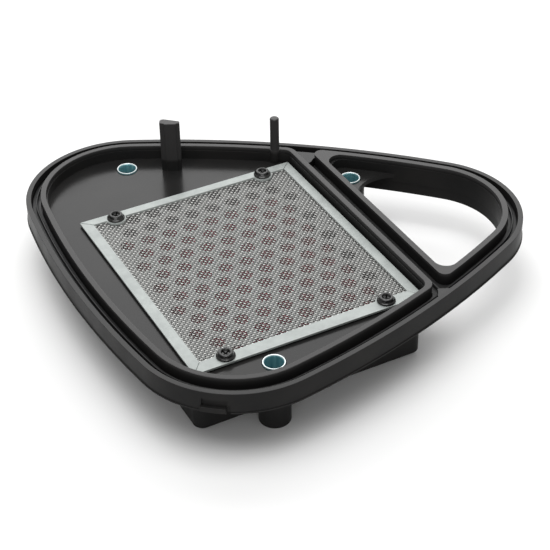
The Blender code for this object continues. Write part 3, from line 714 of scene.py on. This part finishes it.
def tray_lips():
    """Each inner lip is a thin wall on a wider step. Webs close the divider groove."""
    soft, step_soft = 0.45, 0.3
    lip_root, step_root, window_step_root, web_root = -1.0, -1.2, -5.0, -1.4
    main = [main_ring(0.0, 0.0, 0.0), main_ring(INNER_LIP_WIDTH, 3.0, 0.5)]
    main_step = [main_ring(size, size, size) for size in (LIP_CORE, LIP_STEP)]
    window = [window_ring(0.0), window_ring(INNER_LIP_WIDTH)]
    window_step = [window_ring(LIP_CORE), window_ring(LIP_STEP)]
    return [
        slab("main", main, lip_root, INNER_LIP_TOP, soft),
        slab("main_step", main_step, step_root, LIP_STEP_TOP, step_soft),
        slab("window", window, DUCT_BOTTOM, INNER_LIP_TOP, soft),
        slab("window_step", window_step, window_step_root, LIP_STEP_TOP, step_soft),
        slab("rear_web", [rear_web_plan()], web_root, WEB_TOP),
        slab("front_web", [front_web_plan()], web_root, WEB_TOP - 0.05),
    ]


def tray_floor():
    """Two layers: the upper one has the pocket that the screen lies in."""
    through = window_loop(THROUGH_INSET, THROUGH_WALL, THROUGH_FILLET, SHELF_FILLET)
    bores = [circle(x, y, BORE_RADIUS, 48) for x, y in COLLARS.values()]
    holes = [circle(x, y, INSERT_RADIUS, 32) for x, y in SCREWS]
    lower = [outline(1.2), rounded_rectangle(55.0, 60.0, 4.0), through, *bores, *holes]
    upper = [outline(1.4), rounded_rectangle(60.0, 69.4, 2.0), through, *bores]
    return [slab("floor", lower, FLOOR_LOW, POCKET_FLOOR), slab("floor_top", upper, -1.7, 0.0)]


def tray_box():
    """The box for the filter, and the bosses for the collars and the screws."""
    wall = [rounded_rectangle(62.5, 71.0, 5.0), rounded_rectangle(60.0, 68.5, 2.5)]
    box = slab("box", wall, BOX_BOTTOM, -1.1, 0.35)
    boss_radius, screw_boss_radius, closed_end_radius = 7.95, 5.3, 4.9
    hole_end, screw_boss_bottom = -10.0, -12.0
    parts = []
    for x, y in COLLARS.values():
        plan = [circle(x, y, boss_radius, 64), circle(x, y, BORE_RADIUS, 48)]
        parts.append(slab("boss", plan, BOSS_BOTTOM, -0.8, 0.3))
    tools = []
    for x, y in SCREWS:
        plan = [circle(x, y, screw_boss_radius, 32), circle(x, y, INSERT_RADIUS, 32)]
        parts.append(slab("screw_boss", plan, screw_boss_bottom, -1.3, 0.2))
        closed_end = [circle(x, y, closed_end_radius, 32)]
        parts.append(slab("screw_boss_end", closed_end, screw_boss_bottom + 0.3, hole_end))
        tools.append(slab("insert_hole", [circle(x, y, INSERT_RADIUS, 32)], hole_end, 0.0))
    cut(box, *tools)
    drop(*tools)
    return [box, *parts]


def tray_posts():
    """The tall post, and the slim one with its foot and the rib that backs it."""
    x, y, height = TALL_POST
    turn = Matrix.Rotation(TALL_POST_TURN, 2)
    corners = [turn @ Vector(corner) for corner in TALL_POST_PLAN]
    section = [(x + corner.x, y + corner.y) for corner in corners]
    tall = slab("tall", [section], -1.6, height, 0.35)
    x, y, height = SLIM_POST
    slim = slab("slim", [circle(x, y, 2.55, 32)], -1.6, height, 0.8, 4)
    foot = slab("slim_foot", [circle(x, y, 2.75, 32)], -1.7, INNER_LIP_TOP, 0.18)
    half, depth = 1.2, 2.2
    rib_plan = [(x - half, y), (x + half, y), (x + half, y + depth), (x - half, y + depth)]
    rib = slab("slim_rib", [rib_plan], -1.5, INNER_LIP_TOP - 1.1, 0.2)
    return [tall, slim, foot, rib]


def make_tray():
    parts = [*tray_floor(), *tray_rim(), *tray_lips(), *tray_box(), *tray_posts()]
    tray = united("tray_moulding", parts)
    finish_piece(tray, "housing_tray", PLASTIC)


# Smaller housing pieces --------------------------------------------------------


def make_collars():
    """Sleeves with a chamfered mouth, whose rim stands above the floor."""
    bore, wall, foot, rim = 4.6, 5.6, -33.7, 0.8
    profile = [
        (bore, foot), (5.3, foot), (wall, foot + 0.3), (wall, 0.55), (5.55, 0.7), (5.45, rim),
        (5.1, rim), (5.0, 0.75), (4.7, 0.3), (bore, -0.2),
    ]
    for name, (x, y) in COLLARS.items():
        collar = spun(name + "_sleeve", profile, 72)
        finish_piece(collar, name, ZINC, at=(x, y, 0.0))


def make_seal():
    """A flat strip in the groove with a raised crest, on the rim and on the divider."""
    outer = outline(OUTER_LIP_WIDTH + SEAL_GAP)
    inset = INNER_LIP_OUT - SEAL_GAP
    main = main_loop(inset, MAIN_WALL_OUT + SEAL_GAP, -SEAL_GAP, -SEAL_GAP)
    fillet = WINDOW_FILLET + SEAL_GAP
    window = window_loop(inset, WINDOW_WALL_OUT - SEAL_GAP, fillet, fillet)
    base = slab("seal_base", [outer, main, window], 0.3, 1.6, 0.25)
    crest = slab("crest", [outline(5.0), outline(6.0)], 1.0, 3.5, 0.4, 3)
    middle, half, front, rear = (MAIN_WALL_OUT + WINDOW_WALL_OUT) / 2, 0.6, -75.0, 62.0
    left, right = middle - half, middle + half
    strip = [(left, front), (right, front), (right, rear), (left, rear)]
    divider = slab("divider_crest", [strip], 0.9, 3.45, 0.45, 3)
    plans = [grown(plan, 2 * SEAL_GAP) for plan in (rear_web_plan(), front_web_plan())]
    ends = [slab("end", [plan], -1.0, 7.0) for plan in plans]
    parts = [base, crest, divider]
    for piece in parts:
        cut(piece, *ends)
    drop(*ends)
    finish_piece(united("lid_seal_strip", parts), "lid_seal", RUBBER)


def make_paper():
    """The folded paper, with blunted folds and a real thickness."""
    count, pitch, low, high, half_y, thick = 25, 4.0, -27.0, -6.5, 58.6, 0.5
    straight_end, fold_tip, fold_reach = 0.77, 0.0825, 0.55
    quarter = pitch / 4
    line = []
    for i in range(2 * count):
        x = -count * pitch / 2 + (2 * i + 1) * quarter
        up = i % 2 == 0
        start, end = (low, high) if up else (high, low)
        lean = 1 if up else -1
        line.append((x - quarter, start + lean * straight_end))
        line.append((x + quarter, end - lean * straight_end))
        if i < 2 * count - 1:
            line.append((x + quarter + quarter * fold_reach, end - lean * fold_tip))
    body = bmesh.new()
    near, far = ([body.verts.new((x, y, z)) for x, z in line] for y in (-half_y, half_y))
    for a, b, c, d in zip(near, near[1:], far[1:], far):
        body.faces.new((a, b, c, d))
    mesh = bpy.data.meshes.new("pleated_paper")
    body.to_mesh(mesh)
    body.free()
    paper = link("pleated_paper", mesh)
    solid = paper.modifiers.new("thickness", "SOLIDIFY")
    solid.thickness = thick
    solid.offset = 0.0
    baked(paper)
    finish_piece(paper, "pleated_filter_element", PAPER, angle=60.0)


def make_element_edge():
    """The moulding round the paper, notched for the four screw bosses."""
    inner = rounded_rectangle(50.3, 58.9, 1.0)
    outer = rounded_rectangle(*ELEMENT_HALF, ELEMENT_CORNER)
    edge = slab("element_edge", [outer, inner], -27.6, -5.8, 0.6, 3)
    notches = [slab("notch", [circle(x, y, 5.9, 32)], -12.3, -4.8) for x, y in SCREWS]
    cut(edge, *notches)
    drop(*notches)
    finish_piece(edge, "element_edge_frame", MOULDING)


def make_grid():
    """The grid in the box's mouth that the element rests on."""
    border, bar, cells = 6.0, 2.2, (5, 6)
    opened = [2 * (half - border) for half in ELEMENT_HALF]
    cell_x, cell_y = ((full - (n - 1) * bar) / n for full, n in zip(opened, cells))
    cell = rounded_rectangle(cell_x / 2, cell_y / 2, 0.8, 30)
    loops = [rounded_rectangle(*ELEMENT_HALF, ELEMENT_CORNER)]
    for i in range(cells[0]):
        for j in range(cells[1]):
            x = -opened[0] / 2 + i * (cell_x + bar) + cell_x / 2
            y = -opened[1] / 2 + j * (cell_y + bar) + cell_y / 2
            loops.append([(x + u, y + v) for u, v in cell])
    grid = slab("support_grid", loops, -31.2, -27.9, 0.35)
    baked(grid)
    finish_piece(grid, "element_support_grid", PLASTIC)


# Screen ------------------------------------------------------------------------


def plate_holes():
    """Middles of the holes: staggered rows that start and end a little off centre."""
    screw_clearance = 7.6
    holes = []
    for row in range(-ROWS, ROWS + 1):
        shift, first = (0.5, -4) if row % 2 == 0 else (-5.5, -3)
        holes += [(shift + HOLE_PITCH * k, row * ROW_PITCH) for k in range(first, 5)]
    return [h for h in holes if all(math.dist(h, s) > screw_clearance for s in SCREWS)]


def make_plate():
    """The sheet behind the mesh, with its round holes and the screws' holes."""
    loops = [rounded_rectangle(*PLATE_HALF, 1.5)]
    loops += [circle(x, y, HOLE_RADIUS, 28) for x, y in plate_holes()]
    loops += [circle(x, y, SCREW_HOLE_RADIUS, 24) for x, y in SCREWS]
    plate = slab("perforated_sheet", loops, PLATE_BOTTOM, 0.0)
    finish_piece(plate, "perforated_plate", PLATE_STEEL, "screen")


def woven_point(i, j, direction):
    """Where column i crosses row j, on the column (direction 0) or on the row (1)."""
    rise = WIRE_RISES[direction]
    lift = rise if (i + j + direction) % 2 else -rise
    return i * WIRE_PITCH[0], j * WIRE_PITCH[1], MESH_MIDDLE + lift


def add_wire(body, points, direction):
    """One round wire through the points, with closed ends."""
    radius = WIRE_RADII[direction]
    side = Vector((0.0, 1.0, 0.0)) if direction else Vector((1.0, 0.0, 0.0))
    rings = []
    for point in points:
        ring = []
        for k in range(WIRE_SIDES):
            a = 2 * math.pi * k / WIRE_SIDES + math.pi / 2
            around = radius * math.cos(a) * side + Vector((0.0, 0.0, radius * math.sin(a)))
            ring.append(body.verts.new(Vector(point) + around))
        rings.append(ring)
    for a, b in zip(rings, rings[1:]):
        for k in range(WIRE_SIDES):
            m = (k + 1) % WIRE_SIDES
            body.faces.new((a[k], b[k], b[m], a[m]))
    body.faces.new(rings[0])
    body.faces.new(rings[-1][::-1])


def in_mesh(x, y):
    inside = abs(x) < MESH_HALF[0] and abs(y) < MESH_HALF[1]
    return inside and all(math.dist((x, y), s) > MESH_SCREW_CLEARANCE for s in SCREWS)


def add_wire_runs(body, line, direction):
    """One wire, kept inside the frame and broken where the screws pass through."""
    run = []
    for point in [*line, None]:
        if point and in_mesh(*point[:2]):
            run.append(point)
            continue
        if len(run) > 1:
            add_wire(body, run, direction)
        run = []


def make_wire_mesh():
    """Plain weave: every wire goes over and under its neighbours in turn."""
    columns, rows = (int(half / pitch) for half, pitch in zip(MESH_HALF, WIRE_PITCH))
    column_range, row_range = range(-columns, columns + 1), range(-rows, rows + 1)
    body = bmesh.new()
    for i in column_range:
        add_wire_runs(body, [woven_point(i, j, 0) for j in row_range], 0)
    for j in row_range:
        add_wire_runs(body, [woven_point(i, j, 1) for i in column_range], 1)
    bmesh.ops.recalc_face_normals(body, faces=body.faces)
    mesh = bpy.data.meshes.new("woven_wire")
    body.to_mesh(mesh)
    body.free()
    cloth = link("woven_wire", mesh)
    finish_piece(cloth, "wire_mesh_screen", WIRE_STEEL, "screen", angle=80.0)


def lobed_edge(side):
    """Inner edge of the front (-1) or rear (1) strip, bulging round both screws."""
    edge_y = RAIL_FRONT if side < 0 else RAIL_REAR
    dip = math.asin((edge_y - side * SCREW_Y) / LOBE_RADIUS)
    start, end = math.pi - dip, dip
    if side > 0:
        end += 2 * math.pi
    points = []
    for sx in (-1, 1):
        points += arc(sx * SCREW_X, side * SCREW_Y, LOBE_RADIUS, start, end, 6.0)
    return points


def make_rails():
    """Four mitred strips. The front right corner is clipped to clear the lip's fillet."""
    hx, hy = RAIL_HALF
    clipped = (hx - RAIL_CLIP / 2, -hy + RAIL_CLIP / 2)
    rear_left, rear_right = (RAIL_LEFT, RAIL_REAR), (RAIL_RIGHT, RAIL_REAR)
    front_left, front_right = (RAIL_LEFT, RAIL_FRONT), (RAIL_RIGHT, RAIL_FRONT)
    front_lobes, rear_lobes = lobed_edge(-1)[::-1], lobed_edge(1)
    plans = {
        "left": [(-hx, hy), (-hx, -hy), front_left, rear_left],
        "right": [clipped, (hx, -hy + RAIL_CLIP), (hx, hy), rear_right, front_right],
        "front": [
            (hx - RAIL_CLIP, -hy), clipped, front_right, *front_lobes, front_left, (-hx, -hy),
        ],
        "rear": [(-hx, hy), rear_left, *rear_lobes, rear_right, (hx, hy)],
    }
    screw_rows = {"front": SCREWS[:2], "rear": SCREWS[2:]}
    for name, plan in plans.items():
        loops = [grown(plan, -RAIL_GAP)]
        loops += [circle(x, y, SCREW_HOLE_RADIUS, 32) for x, y in screw_rows.get(name, [])]
        node = "frame_rail_" + name
        rail = slab(node + "_strip", loops, RAIL_BOTTOM, RAIL_TOP, 0.22)
        baked(rail)
        finish_piece(rail, node, FRAME_STEEL, "screen")


def screw_solid(name):
    """Flanged pan head with a cross recess, a plain neck and a ridged shank."""
    root, crest, ridge_pitch, ridges, lowest_ridge = 2.1, 2.5, 0.8, 12, -8.3
    profile = [(0.0, -9.0), (1.7, -9.0), (2.2, -8.5)]
    for i in range(ridges):
        z = lowest_ridge + i * ridge_pitch
        profile += [(root, z), (crest, z + 0.3), (crest, z + 0.4), (root, z + 0.7)]
    neck_and_flange = [
        (crest, 1.4), (crest, 2.3), (4.55, 2.3), (4.7, 2.42), (4.7, 2.7), (4.6, 2.88),
    ]
    slope = [(4.3, 3.08), (4.0, 3.3), (3.78, 3.7), (3.62, 4.2), (3.5, 4.5), (3.36, 4.68)]
    top_and_recess = [
        (3.15, 4.78), (2.9, 4.8), (2.5, 4.8), (2.3, 4.72), (2.15, 4.5), (1.9, 3.9),
        (1.75, 3.75), (0.0, 3.65),
    ]
    screw = spun(name, [*profile, *neck_and_flange, *slope, *top_and_recess], 56)
    reach, half = 2.15, 0.45
    plan = [(-reach, -half), (reach, -half), (reach, half), (-reach, half)]
    for turn in (0.0, math.pi / 2):
        blade = slab("blade", [plan], 2.9, 6.0)
        blade.data.transform(Matrix.Rotation(turn, 4, "Z"))
        cut(screw, blade)
        drop(blade)
    return screw


def make_screws():
    """Each screw stopped at its own angle when it was tightened."""
    degrees = (20.0, -35.0, 50.0, 5.0)
    for i, ((x, y), turn) in enumerate(zip(SCREWS, degrees), 1):
        screw = screw_solid(f"pan_head_screw_{i}")
        screw.data.transform(Matrix.Rotation(math.radians(turn), 4, "Z"))
        node, body = f"screen_screw_{i}", f"screw_{i}"
        finish_piece(screw, node, SCREW_BLACK, body, at=(x, y, 0.0))


def paint_inserts():
    """The threaded bushes keep their CAD shape and get brass."""
    for i in range(1, 5):
        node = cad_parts[f"threaded_insert_{i}"]
        for slot in node.material_slots:
            slot.link = "OBJECT"
            slot.material = BRASS


# Stage -------------------------------------------------------------------------


def make_floor():
    size, clearance = 6.0, 0.2 * MM
    bpy.ops.mesh.primitive_grid_add(size=size, x_subdivisions=4, y_subdivisions=4)
    ground = bpy.context.object
    ground.name = "studio_ground"
    ground.location.z = CAD_BOUNDS[0][2] - clearance
    ground.data.materials.append(floor_material())


def camera_axes():
    """The camera's right, its up, and the way from its target back to it."""
    yaw, el, roll = (math.radians(v) for v in (CAMERA_YAW, CAMERA_ELEVATION, CAMERA_ROLL))
    back = Vector((math.sin(yaw) * math.cos(el), -math.cos(yaw) * math.cos(el), math.sin(el)))
    level = Vector((math.cos(yaw), math.sin(yaw), 0.0))
    up = back.cross(level)
    right = math.cos(roll) * level + math.sin(roll) * up
    up = -math.sin(roll) * level + math.cos(roll) * up
    return right, up, back


def make_camera():
    right, up, back = camera_axes()
    shift_right, shift_up = CAMERA_SHIFT
    aim = HOME + Vector((0.0, 0.0, CAMERA_AIM_HEIGHT * MM))
    place = aim + MM * (CAMERA_DISTANCE * back - shift_right * right - shift_up * up)
    data = bpy.data.cameras.new("camera")
    data.lens = CAMERA_LENS
    data.sensor_width = 36.0
    data.clip_start = 0.01
    camera = bpy.data.objects.new("camera", data)
    bpy.context.scene.collection.objects.link(camera)
    turn = Matrix((right, up, back)).transposed().to_4x4()
    camera.matrix_world = Matrix.Translation(place) @ turn
    bpy.context.scene.camera = camera


def area_light(name, toward, distance, size, radiance):
    """A rectangular soft light that faces the tray, with a set brightness."""
    data = bpy.data.lights.new(name, "AREA")
    data.shape = "RECTANGLE"
    data.size, data.size_y = size
    data.energy = radiance * math.pi * size[0] * size[1]
    light = bpy.data.objects.new(name, data)
    bpy.context.scene.collection.objects.link(light)
    direction = Vector(toward).normalized()
    light.location = HOME + direction * distance
    light.rotation_euler = direction.to_track_quat("Z", "Y").to_euler()


def make_light():
    world = bpy.data.worlds.new("studio")
    world.use_nodes = True
    background = world.node_tree.nodes["Background"]
    background.inputs["Color"].default_value = (1.0, 1.0, 1.0, 1.0)
    background.inputs["Strength"].default_value = WORLD_STRENGTH
    bpy.context.scene.world = world
    for name, settings in SOFTBOXES.items():
        area_light(name, *settings)
    bpy.context.scene.view_settings.view_transform = "Standard"


make_camera()
make_light()
make_floor()
make_tray()
make_collars()
make_seal()
make_paper()
make_element_edge()
make_grid()
make_plate()
make_wire_mesh()
make_rails()
make_screws()
paint_inserts()
